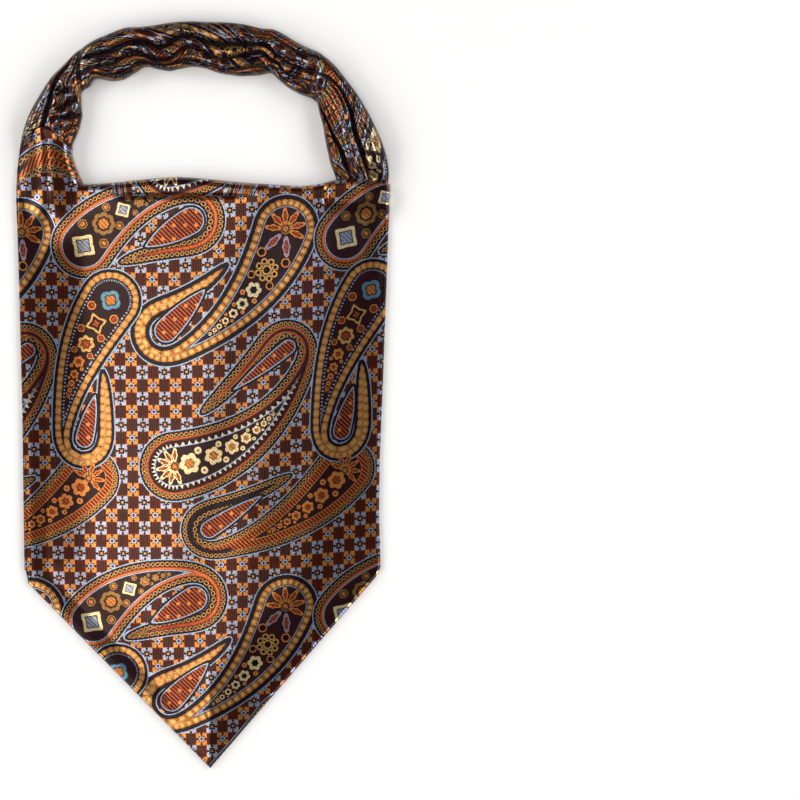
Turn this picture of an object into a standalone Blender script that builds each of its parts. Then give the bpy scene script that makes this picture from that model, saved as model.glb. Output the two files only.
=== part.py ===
"""A silk ascot cravat, laid flat: two pointed blades, one on the other, and the pleated neckband that joins them.

The neckband makes a loop above the blades. Its left end is wrapped by the front blade's own cloth, which runs up
there as a smooth shoulder, and its right end slips under the front blade's top corner.

Tables are in millimetres and degrees, and MM turns them into metres. X runs to the right across the blades, Y from
the point towards the loop, and Z up from the surface that the cravat lies on.
"""

import bmesh
import bpy
import numpy as np

MM = 0.001

# The gap that parts one piece from the next, at a seam and where one lies on another.
GAP = 0.3

# The front blade is a panel of two layers of silk over a thin interlining. Its sides narrow a little towards the
# two slanting edges, which meet at the point.
FRONT_CLOTH = 1.7
POINT_X, POINT_Y = 3.0, -156.7
CORNER_LEFT_X, CORNER_LEFT_Y = -73.5, -79.0
CORNER_RIGHT_X, CORNER_RIGHT_Y = 73.6, -75.2

# Its top is rolled over to the back, with a shallow tuck across it, and beside the roll it runs on into the shoulder.
ROLL_RISE = 1.2
ROLL_END_Y = 82.4
TUCK_Y, TUCK_DEPTH, TUCK_HALF = 83.3, 1.1, 1.3
TUCK_LEFT_X, TUCK_RIGHT_X = -34.0, 17.0
SHOULDER_X, SHOULDER_HALF, SHOULDER_RISE = -64.5, 8.5, 4.4
SHOULDER_INNER_X = -50.0
SHOULDER_SEAM_Y = 88.3
MOUTH_HEM = 1.0

# Where the rows and columns of the front blade's faces lie: distances in from its sides, shares of the way from its
# top fold down to the tuck, rows of one Y across the end of the roll, and rises above the slanting edges.
SIDE_INSETS = np.array([0, 0.9, 2.4, 4.6])
FOLD_SHARES = (0, 0.06, 0.2, 0.4, 0.6, 0.8, 1)
ROLL_ROWS = (ROLL_END_Y, ROLL_END_Y - 0.5, 79.5, 76.0, 71.0)
POINT_RISES = (6.6, 3.4, 1.3, 0)
PLAIN_ROWS, HALF_COLUMNS = 15, 10

# The back blade lies inside the front one's outline. It is thickest along the middle, where the folded layers lie.
BACK_INSET = 5.0
BACK_HEM = 2.0
BACK_CROWN, CROWN_HALF_WIDTH = 2.6, 74.0
BACK_TOP_Y = 81.4

# The loop of the neckband, around a point on Y. A section's place is its angle there, from +X towards +Y. The band's
# right end is flat, and lies under the front blade.
LOOP_Y = 92.0
LOOP_MIDDLE = 64.0
BAND_END_ANGLE = -7.0
BAND_END_HIGH = 3.1
BAND_EDGE_RADIUS = 3.6
BAND_UNDERCUT = 0.9
LEAST_CLOTH = 1.3
LEAST_PLEAT = 0.035
VALLEY_STEEP, VALLEY_GENTLE = 1.3, 2.6

# The places of a pleat's columns between its two valleys, for the band's inner edge, its middle and its outer edge.
INNER_PARTS, MIDDLE_PARTS, OUTER_PARTS = (0, 0.12, 0.35, 0.7), (0, 0.2, 0.5, 0.8), (0, 0.3, 0.65, 0.88)
SECTION_STEP = 2.2


def table(names, *rows):
    """The columns of a table, by name."""
    return dict(zip(names.split(), np.array(rows, float).T))


LEFT_SIDE = table(
    "y x",
    (-79.0, -73.5),
    (-74.4, -73.6),
    (-73.4, -75.1),
    (-52.0, -75.4),
    (-6.0, -76.0),
    (25.0, -76.8),
    (59.0, -77.7),
    (83.0, -78.6),
    (89.0, -78.3),
)
RIGHT_SIDE = table(
    "y x",
    (-75.2, 73.6),
    (-72.0, 74.5),
    (-66.0, 74.4),
    (-50.0, 73.9),
    (-27.0, 74.2),
    (6.0, 75.6),
    (40.0, 76.8),
    (67.0, 77.8),
    (85.0, 78.6),
    (92.0, 78.4),
)
TOP_FOLD = table(
    "x y",
    (-50.0, 88.4),
    (-37.0, 89.2),
    (-27.0, 90.3),
    (-10.5, 91.5),
    (0.0, 90.9),
    (15.0, 89.4),
    (30.0, 88.4),
    (44.0, 87.9),
    (52.0, 89.4),
    (58.0, 90.9),
    (67.0, 91.0),
    (78.5, 88.6),
)
# inner and outer are the edges' distances from the loop's centre, and high is the band's thickness.
NECKBAND = table(
    "angle inner outer high",
    (-8, 58.1, 76.0, 2.9),
    (0, 55.4, 78.0, 3.1),
    (4, 54.0, 77.8, 6.6),
    (10, 53.3, 76.6, 7.4),
    (16, 53.4, 75.2, 7.6),
    (22, 54.4, 74.1, 7.6),
    (28, 55.4, 73.2, 7.4),
    (33, 56.6, 72.5, 7.2),
    (40, 53.0, 72.1, 7.2),
    (46, 51.3, 71.2, 7.0),
    (52, 51.2, 69.0, 7.0),
    (56, 51.5, 68.3, 6.8),
    (60, 48.4, 68.3, 6.8),
    (64, 46.4, 68.1, 6.8),
    (68, 44.8, 66.5, 6.8),
    (74, 43.7, 65.8, 6.8),
    (81, 43.4, 65.0, 6.8),
    (88, 44.7, 64.4, 6.8),
    (95, 45.6, 64.9, 7.0),
    (102, 45.5, 65.5, 7.0),
    (108, 45.9, 66.2, 7.0),
    (113, 48.2, 67.6, 7.2),
    (117, 50.9, 69.6, 7.2),
    (124, 51.3, 71.3, 7.4),
    (130, 52.1, 73.0, 7.4),
    (134, 54.8, 73.8, 7.4),
    (138, 60.2, 74.2, 7.4),
    (142, 60.2, 74.7, 7.4),
    (145, 61.5, 75.3, 7.4),
    (149, 59.2, 75.8, 7.2),
    (154, 56.3, 76.2, 7.0),
    (161, 55.2, 77.2, 6.8),
    (168, 55.9, 77.6, 6.8),
    (178, 52.7, 77.9, 6.8),
    (186, 49.8, 78.6, 6.8),
)
# Where one stretch of the band ends and the next begins: across runs from the inner edge, 0, to the outer edge, 1.
RIGHT_KINK = table("across angle", (0, 33.6), (0.5, 40.5), (1, 44.7))
LEFT_KINK = table("across angle", (0, 145.4), (0.5, 140.6), (1, 134.2))
SHOULDER_MOUTH = table(
    "across angle",
    (0, 167.6),
    (0.2, 165.0),
    (0.45, 163.2),
    (0.65, 163.3),
    (0.85, 166.4),
    (1, 168.4),
)
# The four valleys between the band's five pleats: where each lies across the band, and how deep it is. Where two lie
# close together the pleat between them is folded under, and the others show.
VALLEYS = table(
    "angle a b c d deep_a deep_b deep_c deep_d",
    (-8, 0.28, 0.42, 0.68, 0.93, 4.2, 1.0, 4.2, 0.4),
    (6, 0.27, 0.44, 0.60, 0.93, 4.4, 1.2, 4.2, 0.6),
    (15, 0.19, 0.44, 0.59, 0.90, 4.2, 1.4, 4.4, 0.8),
    (25, 0.09, 0.42, 0.70, 0.84, 3.4, 1.4, 3.8, 1.4),
    (33, 0.05, 0.38, 0.72, 0.87, 2.0, 1.6, 2.6, 1.6),
    (40, 0.20, 0.38, 0.66, 0.91, 1.8, 1.8, 2.4, 1.8),
    (46, 0.14, 0.30, 0.50, 0.88, 1.6, 2.4, 2.8, 2.2),
    (52, 0.09, 0.22, 0.45, 0.79, 1.8, 2.6, 2.8, 2.4),
    (58, 0.20, 0.34, 0.50, 0.81, 1.8, 3.0, 2.8, 2.2),
    (64, 0.22, 0.49, 0.66, 0.87, 2.0, 3.2, 3.2, 1.6),
    (70, 0.13, 0.43, 0.64, 0.93, 2.0, 3.0, 3.6, 0.8),
    (79, 0.08, 0.28, 0.56, 0.96, 2.0, 2.8, 3.6, 0.0),
    (88, 0.06, 0.34, 0.53, 0.96, 1.8, 2.8, 3.6, 0.0),
    (98, 0.13, 0.40, 0.57, 0.96, 2.2, 2.6, 3.6, 0.0),
    (106, 0.12, 0.25, 0.65, 0.96, 2.4, 2.8, 3.8, 0.0),
    (113, 0.14, 0.26, 0.71, 0.96, 2.4, 3.0, 3.8, 0.0),
    (120, 0.13, 0.46, 0.68, 0.96, 2.2, 3.0, 3.6, 0.0),
    (128, 0.12, 0.55, 0.77, 0.96, 2.2, 2.6, 3.2, 0.0),
    (136, 0.24, 0.52, 0.80, 0.97, 2.2, 2.4, 2.6, 0.6),
    (142, 0.04, 0.10, 0.43, 0.80, 1.0, 1.6, 2.6, 3.2),
    (148, 0.04, 0.13, 0.47, 0.71, 1.2, 2.8, 2.8, 3.8),
    (152, 0.05, 0.37, 0.62, 0.70, 1.8, 3.4, 2.6, 4.0),
    (155, 0.10, 0.51, 0.62, 0.69, 2.6, 3.2, 2.4, 4.0),
    (158, 0.34, 0.52, 0.59, 0.66, 3.0, 3.0, 2.4, 4.0),
    (161, 0.44, 0.51, 0.56, 0.62, 2.8, 2.8, 2.4, 3.8),
    (168, 0.42, 0.48, 0.52, 0.57, 2.4, 2.4, 2.4, 3.4),
)


def smooth(at, places, values):
    """A smooth curve through the rows of two columns, read at some places."""
    slope = np.gradient(values, places)
    at = np.clip(at, places[0], places[-1])
    i = np.clip(np.searchsorted(places, at, side="right") - 1, 0, len(places) - 2)
    span = places[i + 1] - places[i]
    t = (at - places[i]) / span
    start = values[i] * (1 + 2 * t) + slope[i] * span * t
    end = values[i + 1] * (3 - 2 * t) - slope[i + 1] * span * (1 - t)
    return start * (1 - t) ** 2 + end * t**2


def ramp(at, low, high):
    """0 at low, 1 at high and a smooth rise between them."""
    t = np.clip((at - low) / (high - low), 0, 1)
    return t * t * (3 - 2 * t)


def nose(inside, radius):
    """How far a rounded edge has opened, from 0 at the edge to 1 at its radius inside it."""
    return np.sqrt(1 - (1 - np.clip(inside / radius, 0, 1)) ** 2)


def side_x(side, y):
    return np.interp(y, side["y"], side["x"])


def top_y(x):
    return np.where(x < SHOULDER_INNER_X, SHOULDER_SEAM_Y, smooth(x, TOP_FOLD["x"], TOP_FOLD["y"]))


def point_y(x):
    """The two slanting edges that meet at the point."""
    left = (x - POINT_X) / (CORNER_LEFT_X - POINT_X) * (CORNER_LEFT_Y - POINT_Y)
    right = (x - POINT_X) / (CORNER_RIGHT_X - POINT_X) * (CORNER_RIGHT_Y - POINT_Y)
    return POINT_Y + np.where(x < POINT_X, left, right)


def from_sides(x, y):
    """The distance in from the nearest side or slanting edge of the front blade."""
    across = np.minimum(x - side_x(LEFT_SIDE, y), side_x(RIGHT_SIDE, y) - x)
    slanting = (y - point_y(x)) * np.sqrt(0.5)
    return np.minimum(across, slanting)


def back_top(x, y):
    """The upper face of the hidden layers: highest along the middle, and flatter at the fold and at the point."""
    middle = np.clip(1 - (x / CROWN_HALF_WIDTH) ** 2, 0, 1)
    return BACK_HEM + BACK_CROWN * middle * ramp(-y, -110, -30) * ramp(y, -150, -60)


def over_band_end(x, y):
    """1 where the front blade lies on the end of the neckband, and 0 away from it."""
    return ramp(x, 46, 53) * ramp(y, 73, 81)


def shoulder_rise(x, y):
    """The tube that the front blade's cloth makes at the left, fading out down the blade."""
    return SHOULDER_RISE * np.exp(-(((x - SHOULDER_X) / SHOULDER_HALF) ** 2)) * ramp(y, 56, 96)


def front_support(x, y):
    """What the front blade's cloth lies on."""
    hem = ramp(from_sides(x, y), 0, BACK_INSET - 0.6)
    layers = hem * (back_top(x, y) + GAP)
    slot = (BAND_END_HIGH + GAP) * over_band_end(x, y)
    return np.maximum(layers, slot)


def front_height(x, y):
    """The upper face of the front blade's cloth, before its edges are rounded."""
    roll = ROLL_RISE * ramp(y, 74, 88) * ramp(from_sides(x, y), 0, 12)
    along = ramp(x, TUCK_LEFT_X - 4, TUCK_LEFT_X + 4) * ramp(-x, -TUCK_RIGHT_X - 9, -TUCK_RIGHT_X + 9)
    tuck = TUCK_DEPTH * np.exp(-(((y - TUCK_Y) / TUCK_HALF) ** 2)) * along
    return front_support(x, y) + FRONT_CLOTH + roll + shoulder_rise(x, y) - tuck


def front_blade_faces():
    """The upper and lower points of the front blade, in rows from its top fold down to its slanting edges."""
    width = CORNER_RIGHT_X - CORNER_LEFT_X
    hem = SIDE_INSETS / width
    tip = (POINT_X - CORNER_LEFT_X) / width
    left = np.linspace(hem[-1], tip, HALF_COLUMNS)
    right = np.linspace(tip, 1 - hem[-1], HALF_COLUMNS)
    across = np.concatenate([hem[:-1], left, right[1:], 1 - hem[-2::-1]])
    left_x, right_x = side_x(LEFT_SIDE, TUCK_Y), side_x(RIGHT_SIDE, TUCK_Y)
    fold = top_y(left_x + across * (right_x - left_x))
    ends = point_y(CORNER_LEFT_X + across * width)
    rows = [fold + share * (TUCK_Y - fold) for share in FOLD_SHARES]
    rows += [np.full_like(across, y) for y in ROLL_ROWS]
    plain = ends + POINT_RISES[0] - rows[-1]
    rows += [rows[-1] + share * plain for share in np.linspace(0, 1, PLAIN_ROWS)[1:-1]]
    rows += [ends + rise for rise in POINT_RISES]
    y = np.array(rows)
    x = side_x(LEFT_SIDE, y) + across * (side_x(RIGHT_SIDE, y) - side_x(LEFT_SIDE, y))
    rolled = (y > ROLL_END_Y - 0.01) & (over_band_end(x, y) < 0.5)
    upper = front_height(x, y)
    lower = np.where(rolled, 0, front_support(x, y))
    below_fold = np.where(x < SHOULDER_INNER_X, np.inf, top_y(x) - y)
    inside = np.maximum(np.minimum(from_sides(x, y), below_fold), 0)
    middle, half = (upper + lower) / 2, (upper - lower) / 2
    half = half * (0.2 + 0.8 * nose(inside, np.minimum(half, 3.0)))
    return np.stack([x, y, middle + half], -1), np.stack([x, y, middle - half], -1)


def back_blade_faces():
    """The upper and lower points of the back blade, whose underside is the flat face that the cravat rests on."""
    width = CORNER_RIGHT_X - CORNER_LEFT_X - 2 * BACK_INSET
    edge = np.array([0, 0.8, 2.2]) / width
    middle = np.linspace(edge[-1], 1 - edge[-1], 17)
    across = np.concatenate([edge[:-1], middle, 1 - edge[-2::-1]])
    down = np.concatenate([[0, 0.006], np.linspace(0.02, 0.98, 18), [0.993, 1]])[:, None]
    x = CORNER_LEFT_X + BACK_INSET + across * width
    bottom = point_y(x) + BACK_INSET / np.sqrt(0.5) + 0.6
    y = BACK_TOP_Y + down * (bottom - BACK_TOP_Y)
    x = np.broadcast_to(x, y.shape)
    sides = np.minimum(across, 1 - across) * width
    ends = np.minimum(BACK_TOP_Y - y, (y - bottom) * np.sqrt(0.5))
    opened = 0.5 + 0.5 * nose(np.minimum(sides, ends), 1.0)
    return np.stack([x, y, back_top(x, y) * opened], -1), np.stack([x, y, 0 * y], -1)


def loop_xy(across, angle):
    """The place on the band's loop at a share of its width and an angle."""
    inner = smooth(angle, NECKBAND["angle"], NECKBAND["inner"])
    outer = smooth(angle, NECKBAND["angle"], NECKBAND["outer"])
    reach = inner + across * (outer - inner)
    turn = np.radians(angle)
    return reach * np.cos(turn), LOOP_Y + reach * np.sin(turn)


def band_width(angle):
    return smooth(angle, NECKBAND["angle"], NECKBAND["outer"] - NECKBAND["inner"])


def valleys_at(angle):
    """Where the four valleys lie across the band, and their depths, kept a little apart from each other."""
    places, low = [], 0
    for name in "abcd":
        low = np.clip(smooth(angle, VALLEYS["angle"], VALLEYS[name]), low + LEAST_PLEAT, 1 - LEAST_PLEAT)
        places.append(low)
    return places, [smooth(angle, VALLEYS["angle"], VALLEYS["deep_" + name]) for name in "abcd"]


def band_height(across, angle):
    """The upper face of the band: two rounded edges, with valleys between the pleats that lie along it."""
    width = band_width(angle)
    high = smooth(angle, NECKBAND["angle"], NECKBAND["high"])
    raised = high * (0.4 + 0.6 * nose(np.minimum(across, 1 - across) * width, BAND_EDGE_RADIUS))
    sunk = 0 * raised
    for place, deep in zip(*valleys_at(angle)):
        away = (across - place) * width
        reach = np.where(away < 0, VALLEY_STEEP, VALLEY_GENTLE)
        sunk = np.maximum(sunk, deep * np.exp(-np.abs(away) / reach))
    sunk = sunk * ramp(high, BAND_END_HIGH, 2 * BAND_END_HIGH)
    return np.maximum(raised - sunk, np.minimum(LEAST_CLOTH, raised))


def band_underside(across, angle):
    """The flat underside of the band, tucked in a little at both of its edges."""
    tucked = BAND_UNDERCUT / band_width(angle)
    x, y = loop_xy(np.clip(across, tucked, 1 - tucked), angle)
    return np.stack([x, y, 0 * x], -1)


def band_faces(first, last):
    """The upper and lower points of a stretch of the band between two end lines, with a column along each valley."""
    share = np.linspace(0, 1, 25)
    start = smooth(share, first["across"], first["angle"])
    end = smooth(share, last["across"], last["angle"])
    length = np.radians(np.abs(end - start).max()) * LOOP_MIDDLE
    along = np.linspace(0, 1, int(round(length / SECTION_STEP)) + 1)
    middle = np.interp(0.5, share, start) * (1 - along) + np.interp(0.5, share, end) * along
    lines = [0 * along, *valleys_at(middle)[0], 0 * along + 1]
    columns = []
    pleat_parts = [INNER_PARTS, *[MIDDLE_PARTS] * 3, OUTER_PARTS]
    for low, high, parts in zip(lines, lines[1:], pleat_parts):
        columns += [low + (high - low) * part for part in parts]
    across = np.stack([*columns, lines[-1]], 1)
    along = along[:, None]
    angle = np.interp(across, share, start) * (1 - along) + np.interp(across, share, end) * along
    upper = np.stack([*loop_xy(across, angle), band_height(across, angle)], -1)
    return upper, band_underside(across, angle)


def moved(line, millimetres):
    """A stretch's end line moved along the loop, to leave the gap of a seam."""
    return {"across": line["across"], "angle": line["angle"] + np.degrees(millimetres / LOOP_MIDDLE)}


def shoulder_faces():
    """The upper and lower points of the smooth shoulder, from the band's mouth down to the blade."""
    across = np.concatenate([[0, 0.03, 0.08], np.linspace(0.16, 0.84, 9), [0.92, 0.97, 1]])
    mouth = smooth(across, SHOULDER_MOUTH["across"], SHOULDER_MOUTH["angle"])
    mouth_x, mouth_y = loop_xy(across, mouth)
    seam_reach = -SHOULDER_INNER_X + across * (SHOULDER_INNER_X - side_x(LEFT_SIDE, SHOULDER_SEAM_Y))
    seam = 180 + np.degrees(np.arcsin((LOOP_Y - SHOULDER_SEAM_Y) / seam_reach))
    down = np.array([0, 0.05, 0.12, 0.25, 0.4, 0.55, 0.7, 0.85, 1])[:, None]
    angle = mouth + down * (seam - mouth)
    x, y = loop_xy(across, angle)
    from_edge = np.minimum(across, 1 - across) * band_width(angle)
    rounded = front_height(x, y) * (0.35 + 0.65 * nose(from_edge, BAND_EDGE_RADIUS))
    lip = MOUTH_HEM * (1 - nose(np.hypot(x - mouth_x, y - mouth_y), 1.4 * MOUTH_HEM))
    upper, lower = np.stack([x, y, rounded - lip], -1), band_underside(across, angle)
    upper[-1, :, 1] = lower[-1, :, 1] = SHOULDER_SEAM_Y + GAP
    return upper, lower


def silk(name, colour):
    material = bpy.data.materials.new(name)
    material.use_nodes = True
    shader = material.node_tree.nodes["Principled BSDF"]
    shader.inputs["Base Color"].default_value = (*colour, 1)
    shader.inputs["Roughness"].default_value = 0.42
    shader.inputs["Metallic"].default_value = 0.0
    shader.inputs["Sheen Weight"].default_value = 0.3
    return material


def solid(name, faces, colour):
    """One closed body between an upper and a lower sheet of points, with its rim joined all round."""
    upper, lower = faces
    mesh = bmesh.new()
    above = [[mesh.verts.new(point * MM) for point in row] for row in upper]
    below = [[mesh.verts.new(point * MM) for point in row] for row in lower]
    last_row, last_column = len(above) - 1, len(above[0]) - 1
    for i in range(last_row):
        for j in range(last_column):
            corners = ((i, j), (i, j + 1), (i + 1, j + 1), (i + 1, j))
            mesh.faces.new([above[a][b] for a, b in corners])
            mesh.faces.new([below[a][b] for a, b in reversed(corners)])
    rim = [(0, j) for j in range(last_column)]
    rim += [(i, last_column) for i in range(last_row)]
    rim += [(last_row, j) for j in range(last_column, 0, -1)]
    rim += [(i, 0) for i in range(last_row, 0, -1)]
    for (a, b), (c, d) in zip(rim, rim[1:] + rim[:1]):
        mesh.faces.new([above[c][d], above[a][b], below[a][b], below[c][d]])
    bmesh.ops.triangulate(mesh, faces=mesh.faces)
    bmesh.ops.recalc_face_normals(mesh, faces=mesh.faces)
    data = bpy.data.meshes.new(name)
    mesh.to_mesh(data)
    mesh.free()
    data.shade_smooth()
    data.set_sharp_from_angle(angle=np.radians(50))
    data.materials.append(silk(name, colour))
    made = bpy.data.objects.new(name, data)
    bpy.context.scene.collection.objects.link(made)
    return made


def main():
    for old in list(bpy.data.objects):
        bpy.data.objects.remove(old)
    band_end = table("across angle", (0, BAND_END_ANGLE), (1, BAND_END_ANGLE))
    half = GAP / 2
    solid("back_blade", back_blade_faces(), (0.16, 0.07, 0.04))
    solid("front_blade", front_blade_faces(), (0.30, 0.11, 0.05))
    solid("left_shoulder", shoulder_faces(), (0.34, 0.13, 0.05))
    solid("neckband_right", band_faces(band_end, moved(RIGHT_KINK, -half)), (0.26, 0.10, 0.06))
    solid("neckband_top", band_faces(moved(RIGHT_KINK, half), moved(LEFT_KINK, -half)), (0.22, 0.09, 0.05))
    solid("neckband_left", band_faces(moved(LEFT_KINK, half), moved(SHOULDER_MOUTH, -GAP)), (0.20, 0.08, 0.05))


main()
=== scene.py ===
"""A silk ascot cravat, laid flat: two pointed blades, one on the other, and a pleated neckband joining them.

The pattern is worked out on the flat cloth: how far each place lies inside each kind of paisley, and which
small ornament it belongs to. The material draws the lines, beads and rings from those distances.

Tables are in millimetres and degrees. X runs to the right across the blades, Y from the point towards the
loop, and Z up from the surface that the cravat lies on.
"""

import bmesh
import bpy
import numpy as np
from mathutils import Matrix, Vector
from mathutils.kdtree import KDTree


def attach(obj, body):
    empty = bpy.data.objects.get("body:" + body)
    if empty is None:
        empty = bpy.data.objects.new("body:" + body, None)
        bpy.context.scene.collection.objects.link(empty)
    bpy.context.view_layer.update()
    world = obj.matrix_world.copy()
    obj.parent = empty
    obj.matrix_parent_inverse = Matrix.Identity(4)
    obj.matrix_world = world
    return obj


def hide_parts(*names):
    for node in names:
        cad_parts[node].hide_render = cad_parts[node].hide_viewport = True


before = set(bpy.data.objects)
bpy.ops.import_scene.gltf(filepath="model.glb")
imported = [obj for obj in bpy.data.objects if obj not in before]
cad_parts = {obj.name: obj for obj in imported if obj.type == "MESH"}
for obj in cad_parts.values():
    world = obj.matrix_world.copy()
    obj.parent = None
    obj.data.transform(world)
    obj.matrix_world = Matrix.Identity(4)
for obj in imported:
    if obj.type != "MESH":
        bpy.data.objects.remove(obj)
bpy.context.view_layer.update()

MM = 0.001
GAP = 0.3

# The front blade: its cloth, its point and its lower corners, and the roll at its top.
FRONT_CLOTH = 1.7
POINT_X, POINT_Y = 3.0, -156.7
CORNER_LEFT_X, CORNER_LEFT_Y = -73.5, -79.0
CORNER_RIGHT_X, CORNER_RIGHT_Y = 73.6, -75.2
ROLL_RISE, ROLL_Y = 1.2, (74, 88)
# The radii of its rounded edges, the share of its height left there, and how far in it is free of its sides.
FOLD_RADIUS, HEM_RADIUS, SHOULDER_RADIUS = 3.2, 1.4, 3.4
EDGE_HEIGHT, SHOULDER_EDGE_HEIGHT = 0.06, 0.40
FREE_FROM_SIDES = 12
# The tuck, how far its crease reaches above and below it, where it starts, is full, fades and ends, and the
# length of cloth that it hides.
TUCK_Y, TUCK_DEPTH, TUCK_ABOVE, TUCK_BELOW = 83.3, 1.1, 0.8, 1.5
TUCK_X = (-38, -30, 8, 26)
TUCK_SHIFT = 37.0
# The shoulder: its ridge, its inner edge, the row where it leaves the blade, and how far up the loop it goes.
SHOULDER_X, SHOULDER_HALF, SHOULDER_RISE, SHOULDER_Y = -64.5, 8.5, 4.4, (56, 96)
SHOULDER_INNER_X, SHOULDER_SEAM_Y = -50.0, 88.3
SHOULDER_ANGLES = (184.2, 165)

# The back blade.
BACK_INSET, BACK_TOP_Y = 5.0, 81.4
BACK_HEM, BACK_HEM_WIDTH, BACK_EDGE_HEIGHT = 2.0, 24, 0.2
BACK_CROWN, CROWN_HALF_WIDTH, CROWN_Y = 2.6, 74.0, (-150, -60, 30, 110)

# The neckband's loop, around a point on Y, and where the front blade lies on the band's end.
LOOP_Y, LOOP_MIDDLE = 92.0, 64.0
BAND_END_ANGLE, BAND_END_HIGH = -7.0, 3.1
OVER_BAND_X, OVER_BAND_Y = (46, 53), (73, 81)
BAND_EDGE_RADIUS = 3.6
LEAST_CLOTH, LEAST_PLEAT, FULL_BAND = 1.3, 0.035, 6.8
PLEAT_LEAN, PLEAT_ROUND = 0.85, 0.6
# The painted shade in the bottom of a fold, in the shoulder's mouth, on a pleat's steep sides and all over
# the band.
DARKEST_PAINTED_SHADE, MOUTH_SHADE, SIDE_SHADE, LEAST_SHADE = 0.92, 0.8, 0.5, 0.30
# How much the gathers draw the cloth together, how much cloth a valley hides for its depth, and how askew the
# pattern runs on the band and on its left bend.
GATHERED, HIDDEN_CLOTH = 1.2, 2.2
ASKEW, ASKEW_LEFT, LEFT_BEND = 0.15, 0.8, (128, 150, 160, 178)
# On the shoulder's turned-over cloth the striped paisley's body lies along an arc: its top, its bends on the
# left and on the right, and how far from the paisley's head that part is.
ARC_X, ARC_Y, ARC_LEFT, ARC_RIGHT, ARC_AT = -61.8, 99.2, 0.020, 0.034, 50.0
ARC_DRAWN, ARC_WIDENS = 0.7, 0.035

# The pattern's small squares, the middle of one, how many lie left of it and below it, and the large repeat.
SQUARE_X, SQUARE_Y = 4.592, 5.477
FIRST_X, FIRST_Y = -20.2, 59.1
SQUARES_LEFT, SQUARES_BELOW = 20.5, 60.5
REPEAT_X, REPEAT_Y = 108.2, 158.6


def table(names, *rows):
    """The columns of a table, by name."""
    return dict(zip(names.split(), np.array(rows, float).T))


def named(names, **rows):
    """The rows of a table by name, each with its columns by name."""
    return {name: dict(zip(names.split(), row)) for name, row in rows.items()}


LEFT_SIDE = table(
    "y x",
    (-79, -73.5), (-74.4, -73.6), (-73.4, -75.1), (-52, -75.4), (-6, -76), (25, -76.8), (59, -77.7),
    (83, -78.6), (89, -78.3),
)
RIGHT_SIDE = table(
    "y x",
    (-75.2, 73.6), (-72, 74.5), (-66, 74.4), (-50, 73.9), (-27, 74.2), (6, 75.6), (40, 76.8), (67, 77.8),
    (85, 78.6), (92, 78.4),
)
TOP_FOLD = table(
    "x y",
    (-50, 88.4), (-37, 89.2), (-27, 90.3), (-10.5, 91.5), (0, 90.9), (15, 89.4), (30, 88.4), (44, 87.9),
    (52, 89.4), (58, 90.9), (67, 91), (78.5, 88.6),
)
# inner and outer are the edges' distances from the loop's centre, and high is the band's thickness.
NECKBAND = table(
    "angle inner outer high",
    (-8, 58.1, 76, 2.9), (0, 55.4, 78, 3.1), (4, 54, 77.8, 6.6), (10, 53.3, 76.6, 7.4),
    (16, 53.4, 75.2, 7.6), (22, 54.4, 74.1, 7.6), (28, 55.4, 73.2, 7.4), (33, 56.6, 72.5, 7.2),
    (40, 53, 72.1, 7.2), (46, 51.3, 71.2, 7), (52, 51.2, 69, 7), (56, 51.5, 68.3, 6.8),
    (60, 48.4, 68.3, 6.8), (64, 46.4, 68.1, 6.8), (68, 44.8, 66.5, 6.8), (74, 43.7, 65.8, 6.8),
    (81, 43.4, 65, 6.8), (88, 44.7, 64.4, 6.8), (95, 45.6, 64.9, 7), (102, 45.5, 65.5, 7),
    (108, 45.9, 66.2, 7), (113, 48.2, 67.6, 7.2), (117, 50.9, 69.6, 7.2), (124, 51.3, 71.3, 7.4),
    (130, 52.1, 73, 7.4), (134, 54.8, 73.8, 7.4), (138, 60.2, 74.2, 7.4), (142, 60.2, 74.7, 7.4),
    (145, 61.5, 75.3, 7.4), (149, 59.2, 75.8, 7.2), (154, 56.3, 76.2, 7), (161, 55.2, 77.2, 6.8),
    (168, 55.9, 77.6, 6.8), (178, 52.7, 77.9, 6.8), (186, 49.8, 78.6, 6.8),
)
# Across runs from the band's inner edge, 0, to its outer edge, 1.
RIGHT_KINK = table("across angle", (0, 33.6), (0.5, 40.5), (1, 44.7))
LEFT_KINK = table("across angle", (0, 145.4), (0.5, 140.6), (1, 134.2))
SHOULDER_MOUTH = table(
    "across angle", (0, 167.6), (0.2, 165), (0.45, 163.2), (0.65, 163.3), (0.85, 166.4), (1, 168.4)
)
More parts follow.
